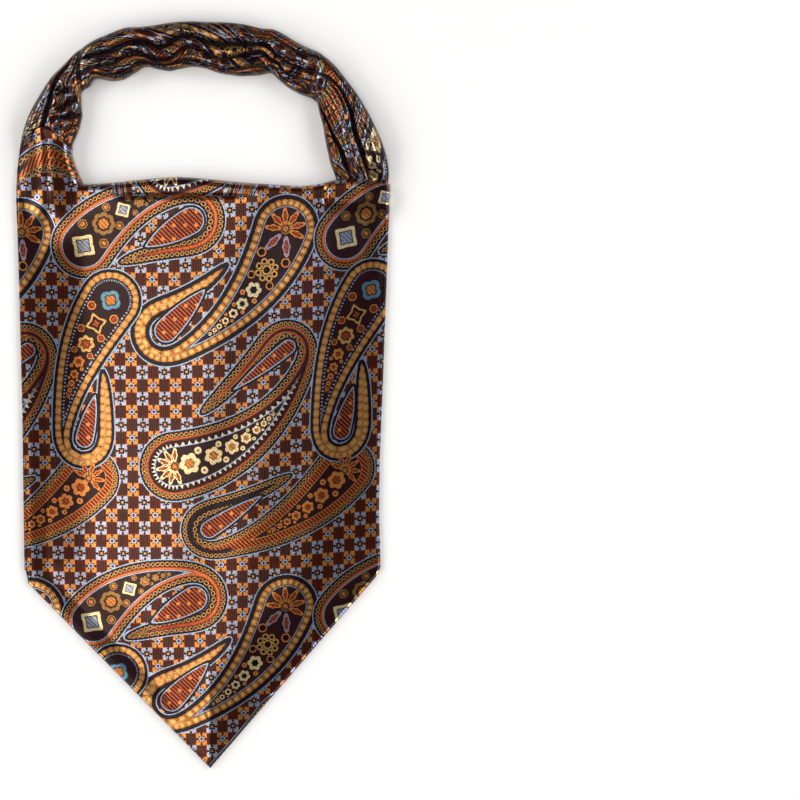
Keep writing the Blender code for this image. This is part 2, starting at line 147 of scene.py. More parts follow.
# The four valleys between the band's five pleats: where each lies across the band, and how deep it is.
VALLEYS = table(
    "angle a b c d deep_a deep_b deep_c deep_d",
    (-8, 0.28, 0.42, 0.68, 0.93, 4.2, 1, 4.2, 0.4),
    (6, 0.27, 0.44, 0.60, 0.93, 4.4, 1.2, 4.2, 0.6),
    (15, 0.19, 0.44, 0.59, 0.90, 4.2, 1.4, 4.4, 0.8),
    (25, 0.09, 0.42, 0.70, 0.84, 3.4, 1.4, 3.8, 1.4),
    (33, 0.05, 0.38, 0.72, 0.87, 2, 1.6, 2.6, 1.6),
    (40, 0.20, 0.38, 0.66, 0.91, 1.8, 1.8, 2.4, 1.8),
    (46, 0.14, 0.30, 0.50, 0.88, 1.6, 2.4, 2.8, 2.2),
    (52, 0.09, 0.22, 0.45, 0.79, 1.8, 2.6, 2.8, 2.4),
    (58, 0.20, 0.34, 0.50, 0.81, 1.8, 3, 2.8, 2.2),
    (64, 0.22, 0.49, 0.66, 0.87, 2, 3.2, 3.2, 1.6),
    (70, 0.13, 0.43, 0.64, 0.93, 2, 3, 3.6, 0.8),
    (79, 0.08, 0.28, 0.58, 0.96, 2, 2.8, 3.8, 0),
    (88, 0.07, 0.32, 0.56, 0.96, 1.8, 2.8, 3.8, 0),
    (92, 0.10, 0.40, 0.63, 0.96, 2, 2.6, 3.8, 0),
    (98, 0.13, 0.42, 0.69, 0.96, 2.2, 2.6, 3.8, 0),
    (104, 0.12, 0.28, 0.57, 0.96, 2.4, 2.8, 3.8, 0),
    (108, 0.12, 0.22, 0.51, 0.96, 2.4, 3, 3.8, 0),
    (113, 0.10, 0.24, 0.61, 0.96, 2.4, 3, 3.8, 0),
    (120, 0.13, 0.43, 0.63, 0.96, 2.2, 3, 3.8, 0),
    (128, 0.12, 0.40, 0.65, 0.96, 2.4, 2.8, 3.6, 0),
    (136, 0.20, 0.46, 0.76, 0.97, 2.4, 2.6, 3, 0.6),
    (142, 0.08, 0.30, 0.60, 0.86, 1, 1.4, 2, 3),
    (148, 0.06, 0.20, 0.44, 0.83, 0.8, 1, 1.4, 4),
    (152, 0.06, 0.20, 0.42, 0.775, 0.6, 0.6, 0.8, 4.4),
    (158, 0.08, 0.24, 0.44, 0.705, 0.6, 0.6, 0.6, 4.4),
    (161, 0.10, 0.28, 0.46, 0.68, 1, 1, 1, 4.2),
    (168, 0.12, 0.30, 0.47, 0.66, 1, 1, 1, 3.8),
)
# Smaller creases between the valleys: from a place across the band and an angle to another, bowed sideways in
# between, with their depth and half width.
CREASES = table(
    "across angle to_across to_angle bow deep half",
    (0.20, 145.6, 0.74, 151.6, 0.2, 3.2, 1.1), (0.02, 146.6, 0.62, 158.6, 0.2, 3.4, 1.1),
    (-0.04, 150.6, 0.62, 160.2, -0.5, 3.2, 1), (0.30, 148.6, 0.66, 158.4, 0.1, 1.1, 0.5),
    (-0.02, 157.6, 0.58, 163.6, -0.4, 1.6, 0.8), (0.86, 150, 0.93, 136, 0.4, 0.9, 0.7),
    (0.93, 157, 0.86, 168, 0.1, 0.7, 0.8), (0.72, 133, 0.78, 126, 0.3, 1.2, 0.7),
    (0.40, 139, 0.36, 127, 0.6, 1.8, 0.8), (0.12, 138, 0.22, 128, 0.3, 1.4, 0.7),
    (0.42, 126, 0.28, 116, 0.5, 1.4, 0.7), (0.86, 128, 0.90, 118, 0.2, 0.7, 0.9),
    (0.44, 112, 0.22, 104, 0.6, 1.4, 0.8), (0.80, 108, 0.76, 92, 0.5, 0.8, 0.9),
    (0.26, 99, 0.20, 90, 0.4, 1.3, 0.7), (0.42, 88, 0.40, 76, -0.4, 1, 0.8),
    (0.18, 84, 0.20, 72, 0.5, 1.4, 0.7), (0.80, 76, 0.86, 62, -0.3, 1.2, 0.8),
    (0.33, 70, 0.10, 58, 0.5, 1.7, 0.8), (0.58, 60, 0.64, 46, -0.3, 1.5, 0.8),
    (0.92, 58, 0.95, 44, 0.2, 0.8, 0.7), (0.04, 50, 0.26, 38, 0.4, 1.7, 0.7),
    (0.12, 54, 0.34, 40, 0.4, 1.3, 0.7), (0.56, 38, 0.50, 20, 0.3, 1.8, 0.8),
    (0.80, 36, 0.78, 18, 0.3, 1.4, 0.8), (0.24, 32, 0.30, 14, -0.3, 1.5, 0.8),
    (0.12, 24, 0.10, 4, 0.3, 1.7, 0.8), (0.36, 18, 0.36, 2, 0.2, 1.4, 0.7),
    (0.80, 16, 0.84, 2, 0.2, 1.5, 0.8), (0.69, 22, 0.71, 6, 0.2, 1.2, 0.6),
)

# The paisleys: the middle of each one's round head, which way its body leaves it and half the head's width,
# then how long its body, its hook and its tail are and how far each turns, and its border's width.
PAISLEYS = named(
    "x y heading half body bend hook turn tail sway border",
    gold=(35, 70, -108, 14, 72, -45, 34, -190, 36, 30, 5.3),
    ring=(-50, 62, 55, 13.5, 52, -55, 34, -175, 32, 15, 5.0),
    bead=(-38, 40, -125, 13, 62, 30, 28, 185, 30, 5, 5.2),
    tooth=(-12, -30, 8, 15, 76, 62, 24, 165, 44, -15, 7.0),
    stripe=(60, -31, -128, 13, 66, -40, 26, -180, 40, 20, 6.2),
)
# A paisley narrows from its head to the width of its neck, a share of the head's, and is blunt at its tail.
NECK, BLUNT = 0.3, 12
# The room round the drop that lies in a hook's bend, and its length as a share of the way to the tail's tip.
DROP_ROOM, DROP_LONG = 1.4, 0.62
# The step along a paisley's middle, and over how many steps on each side a turn is spread.
SPINE_STEP, SPREAD = 0.5, 12


def between(start, end, share):
    """The value at a share of the way from one value to another."""
    return start + (end - start) * share


def ramp(at, low, high):
    """0 at low, 1 at high and a smooth rise between them."""
    t = np.clip((at - low) / (high - low), 0, 1)
    return t * t * (3 - 2 * t)


def hill(at, start, full, fades, end):
    """A smooth rise from 0 at start to 1 at full, and a smooth fall from fades to 0 at end."""
    return ramp(at, start, full) * ramp(-at, -end, -fades)


def nose(inside, radius):
    """How far a rounded edge has opened, from 0 at the edge to 1 at its radius inside it."""
    return np.sqrt(1 - (1 - np.clip(inside / radius, 0, 1)) ** 2)


def read(rows, column, at):
    """A smooth curve through a table's column, over the table's first column, read at some places."""
    places, values = rows[next(iter(rows))], rows[column]
    slope = np.gradient(values, places)
    at = np.clip(at, places[0], places[-1])
    i = np.clip(np.searchsorted(places, at, side="right") - 1, 0, len(places) - 2)
    span = places[i + 1] - places[i]
    t = (at - places[i]) / span
    start = values[i] * (1 + 2 * t) + slope[i] * span * t
    end = values[i + 1] * (3 - 2 * t) - slope[i + 1] * span * (1 - t)
    return start * (1 - t) ** 2 + end * t**2


# ---- Lines on a plane, and how far places lie from them ----


def run(points):
    """The distance along a line of points, at each of them."""
    steps = np.linalg.norm(np.diff(points, axis=0), axis=1)
    return np.concatenate([[0], np.cumsum(steps)])


def line(points, step):
    """A line as even samples: where each is, which way the line goes there, and how far along it lies."""
    length = run(points)
    along = np.linspace(0, length[-1], int(np.ceil(length[-1] / step)) + 1)
    places = np.stack([np.interp(along, length, points[:, i]) for i in range(2)], 1)
    heading = np.gradient(places, axis=0)
    heading /= np.linalg.norm(heading, axis=1)[:, None] + 1e-12
    return {"places": places, "heading": heading, "along": along}


def nearest(lines, x, y):
    """How far places lie to the left of the nearest of some lines, and where along that line."""
    keys = ("places", "heading", "along")
    places, heading, along = (np.concatenate([one[key] for one in lines]) for key in keys)
    tree = KDTree(len(places))
    for i, (a, b) in enumerate(places.tolist()):
        tree.insert((a, b, 0), i)
    tree.balance()
    asked = np.stack([x, y, 0 * x], -1).reshape(-1, 3)
    found = np.array([tree.find(place)[1] for place in asked.tolist()])
    offset = asked[:, :2] - places[found]
    step = np.linalg.norm(places[1] - places[0])
    slid = np.clip((offset * heading[found]).sum(1), -0.5 * step, 0.5 * step)
    rest = offset - slid[:, None] * heading[found]
    left = heading[found, 0] * rest[:, 1] - heading[found, 1] * rest[:, 0]
    far = np.linalg.norm(rest, axis=1) * np.where(left < 0, -1, 1)
    return far.reshape(x.shape), (along[found] + slid).reshape(x.shape)


def within(lines, x, y):
    """Which places lie inside any of some closed outlines."""
    inside = np.zeros(x.shape, bool)
    for outline in lines:
        places = outline["places"][::4]
        low, high = places.min(0), places.max(0)
        near = np.nonzero((x > low[0]) & (x < high[0]) & (y > low[1]) & (y < high[1]) & ~inside)
        if not len(near[0]):
            continue
        px, py = x[near][:, None], y[near][:, None]
        (ax, ay), (bx, by) = places.T, np.roll(places, -1, axis=0).T
        crossed = ((ay > py) != (by > py)) & (px < ax + (bx - ax) * (py - ay) / (by - ay + 1e-12))
        inside[near] = crossed.sum(1) % 2 == 1
    return inside


def lying(x, y):
    """The place on the flat cloth of a place on the blade, where it lies a little askew and stretched."""
    return x + 0.009 * y + x * (0.00014 * x - 0.00026 * y), y - 0.027 * x - 0.00041 * x**2 - 0.00023 * y**2


def spine(form):
    """A paisley's middle line from its head to its tip: its places, half widths, lengths and headings."""
    body, hook = form["body"], form["hook"]
    at = np.arange(0, body + hook + form["tail"], SPINE_STEP)
    rate = np.where(at > body, form["turn"] / hook, form["bend"] / body)
    rate = np.where(at > body + hook, form["sway"] / form["tail"], rate)
    window = np.ones(2 * SPREAD + 1) / (2 * SPREAD + 1)
    rate = np.convolve(np.pad(rate, SPREAD, "edge"), window, "valid")
    heading = np.radians(form["heading"] + np.cumsum(rate) * SPINE_STEP)
    x = form["x"] + np.cumsum(np.cos(heading)) * SPINE_STEP
    y = form["y"] + np.cumsum(np.sin(heading)) * SPINE_STEP
    narrowed = ramp(at, -0.05 * body, body + 0.3 * hook)
    half = form["half"] * (1 - (1 - NECK) * narrowed) * np.sqrt(1 - (at / at[-1]) ** BLUNT)
    return np.stack(lying(x, y), 1), half, at, heading


def drop(form):
    """The middle line of the drop in the bend of a paisley's hook: its places, half widths and lengths."""
    middle, half, at, _ = spine(form)
    start, end = np.searchsorted(at, (form["body"], form["body"] + form["hook"]))
    over = middle[end] - middle[start]
    across = over / np.linalg.norm(over)
    gap = np.linalg.norm(over) - half[start] - half[end]
    first = middle[start] + across * (half[start] + gap / 2)
    share = np.linspace(0, 1, 60)
    places = first + share[:, None] * DROP_LONG * (middle[-1] - 0.5 * across - first)
    return places, (gap / 2 - DROP_ROOM) * (1 - share**2), run(places)


def paisley(middle, half, at):
    """A paisley's outline, counter-clockwise from its tail's tip, and the way along it from its head."""
    ahead = np.gradient(middle, at, axis=0)
    ahead /= np.linalg.norm(ahead, axis=1)[:, None]
    beside = np.stack([-ahead[:, 1], ahead[:, 0]], 1)
    tilt = np.clip(np.gradient(half, at), -0.9, 0.9)[:, None]
    reach = np.sqrt(1 - tilt**2)
    left = middle + half[:, None] * (reach * beside - tilt * ahead)
    right = middle - half[:, None] * (reach * beside + tilt * ahead)
    first = np.arctan2(*(left[0] - middle[0])[::-1])
    turn = 2 * np.pi - 2 * np.arccos(-tilt[0, 0])
    turned = first + np.linspace(0, turn, 60)[1:-1]
    cap = middle[0] + half[0] * np.stack([np.cos(turned), np.sin(turned)], 1)
    made = line(np.concatenate([left[::-1], cap, right]), 0.2)
    made["along"] = np.abs(made["along"] - run(left)[-1] - half[0] * turn / 2)
    return made


def repeated(made):
    """A line and its copies in the pattern's repeats round it."""
    steps = [(i * REPEAT_X, j * REPEAT_Y) for i in (-1, 0, 1) for j in (-1, 0, 1)]
    return [{**made, "places": made["places"] + step} for step in steps]


# ---- The yarns, and the small ornaments in the paisleys ----


def yarn(red, green, blue):
    """A yarn's colour as Blender's linear one, from the usual 0 to 255."""
    return tuple(float(0.74 * (part / 255) ** 2.2) for part in (red, green, blue))


GOLD, CREAM, ORANGE, RED = yarn(222, 160, 80), yarn(250, 222, 160), yarn(228, 128, 55), yarn(180, 66, 32)
PALE, CYAN, LILAC, OLIVE = yarn(160, 170, 198), yarn(84, 134, 164), yarn(170, 138, 162), yarn(140, 98, 52)
# The last colour on the next line is no yarn: it is laid in as painted shade in the band's folds.
NAVY, DARK, GROUND, PAINTED_FOLD_SHADE = yarn(24, 12, 22), yarn(18, 7, 9), yarn(32, 10, 8), yarn(16, 14, 26)
INNER, LINE, BROWN, RIB = yarn(42, 15, 18), yarn(145, 175, 210), yarn(116, 46, 22), yarn(86, 30, 16)
RINGS, EDGING = yarn(196, 136, 66), yarn(205, 132, 60)
LINE_HALF = 0.22

# The kinds of ornament. An edge has some petals, round ones with notches as deep as the share scallop between
# them, or pointed ones where scallop is negative. From the edge in to the share rim an ornament has its first
# colour, then a dark gap in to gap, and then its second colour.
KINDS = named(
    "size lean petals scallop rim gap first second",
    flower=(1, 0, 6, 0.24, 0.50, 0.40, GOLD, RED),
    rosette=(1, 0, 6, 0.06, 0.72, 0.50, ORANGE, GOLD),
    ring=(1, 0, 0, 0, 0.62, 0, GOLD, DARK),
    petal=(1, 0, 2, 0.60, 0.62, 0.50, GOLD, RED),
    diamond=(1, 45, 4, -0.3, 0.68, 0.56, CREAM, PALE),
    star=(1, 0, 4, -0.4, 0.74, 0.36, GOLD, RED),
    olive_flower=(1, 0, 8, 0.14, 0.66, 0.46, OLIVE, ORANGE),
    cyan_flower=(0.85, 0, 4, 0.24, 0.62, 0.48, CYAN, ORANGE),
    big_flower=(1, 0, 7, 0.24, 0.62, 0.44, GOLD, RED),
)
# What fills each paisley: large ornaments along its body, then flowers, dots between them, and petals round
# its head.
FILLINGS = named(
    "large flowers middles dots petals petal_colour",
    gold=(("leaves", "wheel"), CREAM, DARK, ORANGE, 6, ORANGE),
    ring=(("diamond", "olive_flower", "diamond"), OLIVE, ORANGE, OLIVE, 0, None),
    bead=(("cyan_flower", "star", "big_flower"), ORANGE, RED, ORANGE, 0, None),
    tooth=((), CREAM, ORANGE, CREAM, 7, CREAM),
    stripe=((), ORANGE, RED, ORANGE, 6, ORANGE),
)
LEAST_ROOM = 1.2
ornaments = []


def ornament(kind, x, y, radius, turn=0, **changed):
    """Puts in an ornament of a kind, with some of its traits changed."""
    form = {**KINDS[kind], **changed}
    place = (x, y, form["size"] * radius, np.radians(turn + form["lean"]))
    shape = (form[trait] for trait in ("petals", "scallop", "rim", "gap"))
    ornaments.append((*place, *shape, *form["first"], *form["second"]))


def beyond(x, y, far, turn):
    """The place at a distance and a direction from another one."""
    return x + far * np.cos(np.radians(turn)), y + far * np.sin(np.radians(turn))


def large_ornament(kind, x, y, radius, turn):
    """A wheel of eight rings round a larger one, two leaves that lean apart, or a single ornament."""
    if kind == "wheel":
        ornament("ring", x, y, 0.46 * radius, rim=0.66)
        for way in turn + 45 * np.arange(8):
            ornament("ring", *beyond(x, y, 0.78 * radius, way), 0.30 * radius, rim=0.55)
    elif kind == "leaves":
        for side in (-1, 1):
            place = beyond(x, y, 0.55 * side * radius, turn + 90)
            ornament("petal", *place, 0.8 * radius, turn + 25 * side, first=LILAC)
    else:
        ornament(kind, x, y, radius, turn)


def fill_paisley(form, large, flowers, middles, dots, petals, petal_colour):
    """Puts petals round a paisley's head, large ornaments in a row along its body, and then flowers that grow
    smaller with the room, with a dot on each side between one and the next. Sizes are shares of the room."""
    middle, half, at, heading = spine(form)

    def here(along, aside=0):
        i = np.searchsorted(at, along)
        room, turn = half[i] - form["border"], np.degrees(heading[i])
        return *beyond(*middle[i], aside * room, turn + 90), room, turn

    x, y, room, turn = here(0)
    if petals:
        for way in np.linspace(turn + 80, turn + 280, petals):
            ornament("petal", *beyond(x, y, 0.60 * room, way), 0.40 * room, way, first=petal_colour)
        ornament("rosette", x, y, 0.27 * room, first=OLIVE, second=ORANGE)
    along = (0.8 if petals else 0) * room
    for kind in large:
        x, y, room, turn = here(along)
        large_ornament(kind, x, y, 0.66 * room, turn)
        for side in (-1, 1):
            place = here(along + 0.72 * room, 0.72 * side)[:2]
            ornament("rosette", *place, 0.24 * room, first=dots, second=middles)
        along += 1.42 * room
    while here(along)[2] > LEAST_ROOM and along < form["body"]:
        x, y, room, turn = here(along)
        ornament("flower", x, y, 0.6 * room, turn, first=flowers, second=middles)
        for side in (-1, 1):
            place = here(along + 0.66 * room, 0.62 * side)[:2]
            ornament("ring", *place, 0.2 * room, first=dots, rim=0.3)
        along += 1.34 * room


def nearest_ornament(x, y):
    """For each place, the traits of the ornament that it belongs to, and where that ornament's middle is."""
    traits = np.array(ornaments)
    best, owner = np.full(len(x), np.inf), np.zeros(len(x), int)
    middle_x, middle_y = 0 * x, 0 * y
    for i, (at_x, at_y, radius) in enumerate(traits[:, :3]):
        away_x = (x - at_x + REPEAT_X / 2) % REPEAT_X - REPEAT_X / 2
        away_y = (y - at_y + REPEAT_Y / 2) % REPEAT_Y - REPEAT_Y / 2
        far = np.hypot(away_x, away_y) / radius
        closer = far < best
        best[closer], owner[closer] = far[closer], i
        middle_x[closer], middle_y[closer] = (x - away_x)[closer], (y - away_y)[closer]
    return traits[owner], middle_x, middle_y


# ---- Meshes ----


def weave_into(data, flat):
    """Gives a mesh the pattern's distances, from its points' places on the flat cloth."""
    x, y, deep = flat.T
    tile_x, tile_y = x % REPEAT_X, y % REPEAT_Y
    tile_x -= REPEAT_X * (tile_x > 0.75 * REPEAT_X)
    tile_y -= REPEAT_Y * (tile_y > 0.6 * REPEAT_Y)

    def store(name, columns, domain="POINT"):
        kept = data.attributes.new(name, "FLOAT_VECTOR", domain)
        kept.data.foreach_set("vector", np.stack(columns, -1).astype(np.float32).ravel())

    # Its third number is the painted shade in the band's folds.
    store("flat_cloth", (x, y, deep))
    for name, lines in outlines.items():
        inside, along = nearest(lines, tile_x, tile_y)
        inside = np.abs(inside) * np.where(within(lines, tile_x, tile_y), 1, -1)
        store("in_" + name, (inside, along, 0 * x))

    corners, size = np.empty(len(data.loops), int), np.empty(len(data.polygons), int)
    data.loops.foreach_get("vertex_index", corners)
    data.polygons.foreach_get("loop_total", size)
    face = np.repeat(np.arange(len(size)), size)
    x, y = x[corners], y[corners]
    traits, middle_x, middle_y = nearest_ornament(*(np.bincount(face, places) / size for places in (x, y)))
    traits = traits[face]
    u, v = (x - middle_x[face]) / traits[:, 2], (y - middle_y[face]) / traits[:, 2]
    cos, sin = np.cos(traits[:, 3]), np.sin(traits[:, 3])
    store("ornament", (u * cos + v * sin, v * cos - u * sin, traits[:, 4]), "CORNER")
    for name, column in (("form", 5), ("first", 8), ("second", 11)):
        store("ornament_" + name, traits[:, column : column + 3].T, "CORNER")


def spread(edge, count):
    """Shares from 0 to 1, close together at both ends, as given, and even in between."""
    return np.concatenate([edge[:-1], np.linspace(edge[-1], 1 - edge[-1], count), 1 - edge[-2::-1]])


def coarse(count, step):
    """Every so many of some rows, with the first and the last."""
    return np.unique(np.concatenate([np.arange(0, count, step), [count - 1]]))


def walls(upper, flat, low, at_x, at_y, sides):
    """The patches between some sides of a fine grid and the same sides of the coarse grid below it."""
    cuts = {"left": np.s_[:, 0], "right": np.s_[:, -1], "start": 0, "end": -1}
    made = []
    for side in sides.split():
        cut, at = cuts[side], at_y if side in ("left", "right") else at_x
        fine, places = upper[cut], flat[cut]
        pairs = enumerate(zip(at, at[1:]), len(fine))
        faces = [[*range(b, a - 1, -1), k, k + 1] for k, (a, b) in pairs]
        made.append((np.concatenate([fine, low[cut]]), np.concatenate([places, places[at]]), faces))
    return made


def shell(upper, flat, low, at_x, at_y, sides="left right start end"):
    """The patches of a fine grid, of the coarse grid below it, and of the walls along some of their sides."""
    patches = [(upper, flat, None), (low, flat[np.ix_(at_y, at_x)], None)]
    return patches + walls(upper, flat, low, at_x, at_y, sides)


def closed(patches):
    """The points, faces and flat places of some patches, with the points that they share joined."""
    points, flat, faces, start = [], [], [], 0
    for grid, places, given in patches:
        if given is None:
            rows, columns = grid.shape[:2]
            index = np.arange(rows * columns).reshape(rows, columns)
            corners = np.stack([index[:-1, :-1], index[:-1, 1:], index[1:, 1:], index[1:, :-1]], -1)
            given = corners.reshape(-1, 4).tolist()
        if places.shape[-1] == 2:
            places = np.concatenate([places, 0 * places[..., :1]], -1)
        faces += [[start + i for i in face] for face in given]
        points.append(grid.reshape(-1, 3))
        flat.append(places.reshape(-1, 3))
        start += len(points[-1])
    points, flat = np.concatenate(points), np.concatenate(flat)
    _, first, joined = np.unique(np.round(points, 3), axis=0, return_index=True, return_inverse=True)
    joined = joined.reshape(-1)
    faces = [list(dict.fromkeys(joined[face].tolist())) for face in faces]
    return points[first], [face for face in faces if len(face) > 2], flat[first]


def placed(name, data):
    """A new object in the scene."""
    made = bpy.data.objects.new(name, data)
    bpy.context.scene.collection.objects.link(made)
    return made


def cloth_piece(name, patches, material):
    points, faces, flat = closed(patches)
    data = bpy.data.meshes.new(name)
    data.from_pydata((points * MM).tolist(), [], faces)
    shape = bmesh.new()
    shape.from_mesh(data)
    bmesh.ops.recalc_face_normals(shape, faces=shape.faces)
    shape.to_mesh(data)
    shape.free()
    data.shade_smooth()
    weave_into(data, flat)
    data.materials.append(material)
    return placed(name, data)


# ---- The blades ----


def side_x(side, y):
    return np.interp(y, side["y"], side["x"])


def top_y(x):
    return np.where(x < SHOULDER_INNER_X, SHOULDER_SEAM_Y, read(TOP_FOLD, "y", x))


def point_y(x):
    """The two slanting edges that meet at the point."""
    left = (x - POINT_X) / (CORNER_LEFT_X - POINT_X) * (CORNER_LEFT_Y - POINT_Y)
    right = (x - POINT_X) / (CORNER_RIGHT_X - POINT_X) * (CORNER_RIGHT_Y - POINT_Y)
    return POINT_Y + np.where(x < POINT_X, left, right)


def from_sides(x, y):
    """The distance in from the nearest side or slanting edge of the front blade."""
    across = np.minimum(x - side_x(LEFT_SIDE, y), side_x(RIGHT_SIDE, y) - x)
    return np.minimum(across, (y - point_y(x)) * np.sqrt(0.5))


def back_top(x, y):
    """The upper face of the hidden layers: highest along the middle, flatter at the fold and at the point."""
    middle = np.clip(1 - (x / CROWN_HALF_WIDTH) ** 2, 0, 1)
    thick = between(BACK_EDGE_HEIGHT, 1, ramp(from_sides(x, y) - BACK_INSET, 0, BACK_HEM_WIDTH))
    return BACK_HEM * thick + BACK_CROWN * middle * hill(y, *CROWN_Y)


def front_support(x, y):
    """What the front blade's cloth lies on: the hidden layers, and at its right corner the neckband's end."""
    layers = ramp(from_sides(x, y), 0, 2 * BACK_INSET) * (back_top(x, y) + GAP)
    over_band = ramp(x, *OVER_BAND_X) * ramp(y, *OVER_BAND_Y)
    return np.maximum(layers, (BAND_END_HIGH + GAP) * over_band)


def front_height(x, y):
    """The upper face of the front blade's cloth with its faint waves, before its edges are rounded."""
    inside = from_sides(x, y)
    roll = ROLL_RISE * ramp(y, *ROLL_Y) * ramp(inside, 0, FREE_FROM_SIDES)
    crease = np.exp(-np.abs(y - TUCK_Y) / np.where(y > TUCK_Y, TUCK_ABOVE, TUCK_BELOW))
    tuck = TUCK_DEPTH * crease * hill(x, *TUCK_X)
    shoulder = SHOULDER_RISE * np.exp(-(((x - SHOULDER_X) / SHOULDER_HALF) ** 2)) * ramp(y, *SHOULDER_Y)
    waves = 0.10 * np.sin(x / 9.5 + y / 31) * np.sin(y / 17 - x / 40) + 0.07 * np.sin(x / 4.7 - y / 23 + 1.3)
    waves = waves * ramp(inside, 2, FREE_FROM_SIDES)
    return front_support(x, y) + FRONT_CLOTH + roll + shoulder - tuck + waves


def loop_xy(across, angle):
    """The place on the band's loop at a share of its width and an angle."""
    reach = between(read(NECKBAND, "inner", angle), read(NECKBAND, "outer", angle), across)
    turn = np.radians(angle)
    return reach * np.cos(turn), LOOP_Y + reach * np.sin(turn)


def band_width(angle):
    return read(NECKBAND, "outer", angle) - read(NECKBAND, "inner", angle)


def front_edges():
    """The front blade's edges, counter-clockwise: its fold with the shoulder's inner edge, and the rest."""
    rise = np.linspace(*SHOULDER_ANGLES, 60)
    inner = np.stack(loop_xy(0 * rise, rise), 1)
    outer = np.stack(loop_xy(0 * rise + 1, rise[::-1]), 1)
    left, right = (np.stack([side["x"], side["y"]], 1) for side in (LEFT_SIDE, RIGHT_SIDE))
    x = np.linspace(right[-1, 0], SHOULDER_INNER_X + 0.1, 200)
    fold = np.stack([x, top_y(x)], 1)
    rest = np.concatenate([outer[:-1], left[-2::-1], [(POINT_X, POINT_Y)], right])
    return line(np.concatenate([fold, inner[1:]]), 0.25), line(rest, 0.25)


def front_surface(x, y, edges):
    """The front cloth's upper face, and how much longer the cloth is than its shadow where it rolls over."""
    fold, rest = (np.maximum(nearest([edge], x, y)[0], 0) for edge in edges)
    on_shoulder = ramp(y, 87, 94) * (x < -45)
    low = between(EDGE_HEIGHT, SHOULDER_EDGE_HEIGHT, on_shoulder)
    round_fold = between(low, 1, nose(fold, FOLD_RADIUS))
    round_rest = between(low, 1, nose(rest, between(HEM_RADIUS, SHOULDER_RADIUS, on_shoulder)))
    turned = np.clip(1 - fold / FOLD_RADIUS, 0, 1)
    longer = FOLD_RADIUS * (np.arcsin(turned) - turned) * (x > SHOULDER_INNER_X + 1)
    return front_height(x, y) * round_fold * round_rest, longer


def shoulder_grid(seam_x, edges):
    """The smooth shoulder, from its seam row on the blade up to its mouth round the band."""
    across = (seam_x - SHOULDER_INNER_X) / (seam_x[0] - SHOULDER_INNER_X)
    seam_reach = np.hypot(seam_x, LOOP_Y - SHOULDER_SEAM_Y)
    seam = 180 + np.degrees(np.arcsin((LOOP_Y - SHOULDER_SEAM_Y) / seam_reach))
    up = np.linspace(0, 1, 60)[:, None]
    angle = between(seam, read(SHOULDER_MOUTH, "angle", across), up)
    x, y = loop_xy(across, angle)
    x += (seam_x - x[0]) * (1 - ramp(up, 0, 0.6))
    y += (SHOULDER_SEAM_Y - y[0]) * (1 - ramp(up, 0, 0.6))
    z, _ = front_surface(x, y, edges)
    to_mouth = np.hypot(x - x[-1], y - y[-1])
    on_band = band_envelope(across, angle) + 1.3 - 0.7 * (1 - nose(to_mouth, 0.9))
    z = between(z, np.minimum(z, on_band), ramp(-to_mouth, -9, -0.5))

    steps = np.hypot(np.diff(x, axis=0), np.diff(y, axis=0))
    length = np.concatenate([0 * across[None], np.cumsum(steps, 0)])
    plain = np.stack(lying(seam_x + 0 * x, SHOULDER_SEAM_Y + length), -1)
    aside = seam_x - ARC_X
    below = ARC_Y - np.where(aside < 0, ARC_LEFT, ARC_RIGHT) * aside**2 - SHOULDER_SEAM_Y - length
    along, over = ARC_DRAWN * aside, below * (1 + ARC_WIDENS * ARC_DRAWN * aside)
    middle, half, at, heading = spine(PAISLEYS["stripe"])
    there = np.searchsorted(at, ARC_AT)
    cos, sin = -np.cos(heading[there]), -np.sin(heading[there])
    on_arc = middle[there] + np.stack([along * cos - over * sin, along * sin + over * cos], -1)
    turned = ramp(-below, -half[there], 0.2 - half[there])[..., None]
    return np.stack([x, y, z], -1), between(plain, on_arc, turned), across, angle


